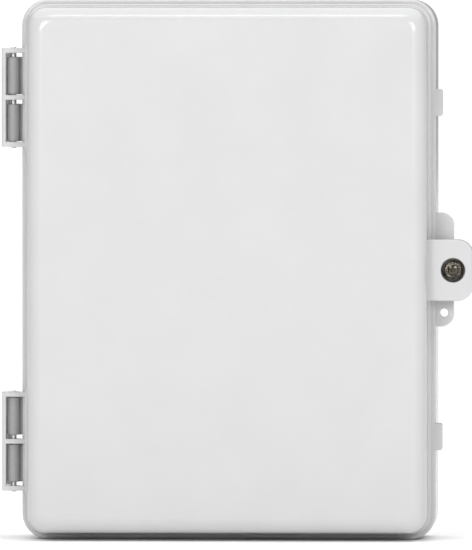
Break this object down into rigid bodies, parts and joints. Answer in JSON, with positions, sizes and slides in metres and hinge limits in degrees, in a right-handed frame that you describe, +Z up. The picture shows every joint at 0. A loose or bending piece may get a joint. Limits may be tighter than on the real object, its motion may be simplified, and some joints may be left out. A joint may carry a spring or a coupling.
{
  "type": "fiber termination box",
  "caption": "Wall-mounted fiber termination box with a hinged cover, a captive security screw, adapters, a splice tray and cable entries.",
  "frame": {"origin": "centre of the base's back face, where the box meets the wall", "axes": "+X to the right seen from the front, +Z up along the long side, -Y out of the wall towards the viewer"},
  "size_m": [0.2361, 0.078, 0.27],
  "materials": {
    "grey_plastic": "satin moulded",
    "tray_plastic": "matte moulded",
    "clear_plastic": "clear",
    "green_plastic": "moulded",
    "black_plastic": "moulded",
    "nylon": "natural nylon",
    "rubber": "matte",
    "gasket_foam": "foam",
    "zinc_steel": "zinc plated",
    "dark_steel": "dark plated",
    "brass": "machined"
  },
  "bodies": {
    "housing": {"base_housing": "grey_plastic", "cover_gasket": "gasket_foam", "upper_hinge_pin": "zinc_steel", "lower_hinge_pin": "zinc_steel", "lock_insert": "brass", "adapter_bracket": "zinc_steel", "fiber_adapter_1": "green_plastic", "fiber_adapter_2": "green_plastic", "fiber_adapter_3": "green_plastic", "fiber_adapter_4": "green_plastic", "fiber_adapter_5": "green_plastic", "fiber_adapter_6": "green_plastic", "bracket_screw_left": "zinc_steel", "bracket_screw_right": "zinc_steel", "tray_hinge_bracket": "zinc_steel", "tray_hinge_rod": "zinc_steel", "tray_bracket_screw_left": "zinc_steel", "tray_bracket_screw_right": "zinc_steel", "slack_spool": "tray_plastic", "spool_screw": "zinc_steel", "drop_grommet": "rubber", "feeder_grommet_left": "rubber", "feeder_grommet_right": "rubber", "cable_clamp_left": "tray_plastic", "cable_clamp_right": "tray_plastic", "clamp_screw_1": "zinc_steel", "clamp_screw_2": "zinc_steel", "clamp_screw_3": "zinc_steel", "clamp_screw_4": "zinc_steel", "strength_clamp_left": "brass", "strength_clamp_right": "brass", "strength_screw_left": "zinc_steel", "strength_screw_right": "zinc_steel"},
    "cover": {"front_cover": "grey_plastic", "lock_collar": "dark_steel"},
    "screw_washer": {"lock_screw_washer": "nylon"},
    "lock_screw": {"lock_screw": "dark_steel"},
    "splice_tray": {"splice_tray": "tray_plastic", "splice_comb_left": "rubber", "splice_comb_right": "rubber"},
    "tray_lid": {"tray_lid": "clear_plastic"},
    "dust_cap_1": {"dust_cap_1": "black_plastic"},
    "dust_cap_2": {"dust_cap_2": "black_plastic"},
    "dust_cap_3": {"dust_cap_3": "black_plastic"},
    "dust_cap_4": {"dust_cap_4": "black_plastic"},
    "dust_cap_5": {"dust_cap_5": "black_plastic"},
    "dust_cap_6": {"dust_cap_6": "black_plastic"}
  },
  "joints": [
    {"name": "cover_hinge", "type": "hinge", "parent": "housing", "child": "cover", "pos_m": [-0.108, -0.048, 0], "axis": [0, 0, -1], "range_deg": [0, 120]},
    {"name": "lock_screw_travel", "type": "slide", "parent": "cover", "child": "screw_washer", "axis": [0, -1, 0], "range_m": [0, 0.008]},
    {"name": "lock_screw_turn", "type": "hinge", "parent": "screw_washer", "child": "lock_screw", "pos_m": [0.1124, -0.06, 0], "axis": [0, -1, 0], "range_deg": [0, 2900]},
    {"name": "tray_flip", "type": "hinge", "parent": "housing", "child": "splice_tray", "pos_m": [0, -0.0315, -0.002], "axis": [1, 0, 0], "range_deg": [0, 12]},
    {"name": "tray_lid_lift", "type": "slide", "parent": "splice_tray", "child": "tray_lid", "axis": [0, -1, 0], "range_m": [0, 0.01]},
    {"name": "dust_cap_1_pull", "type": "slide", "parent": "housing", "child": "dust_cap_1", "axis": [0, 0, -1], "range_m": [0, 0.012]},
    {"name": "dust_cap_2_pull", "type": "slide", "parent": "housing", "child": "dust_cap_2", "axis": [0, 0, -1], "range_m": [0, 0.012]},
    {"name": "dust_cap_3_pull", "type": "slide", "parent": "housing", "child": "dust_cap_3", "axis": [0, 0, -1], "range_m": [0, 0.012]},
    {"name": "dust_cap_4_pull", "type": "slide", "parent": "housing", "child": "dust_cap_4", "axis": [0, 0, -1], "range_m": [0, 0.012]},
    {"name": "dust_cap_5_pull", "type": "slide", "parent": "housing", "child": "dust_cap_5", "axis": [0, 0, -1], "range_m": [0, 0.012]},
    {"name": "dust_cap_6_pull", "type": "slide", "parent": "housing", "child": "dust_cap_6", "axis": [0, 0, -1], "range_m": [0, 0.012]}
  ],
  "couplings": [
    {"joint": "lock_screw_turn", "follows": "lock_screw_travel", "rad_per_m": 6283.2}
  ]
}
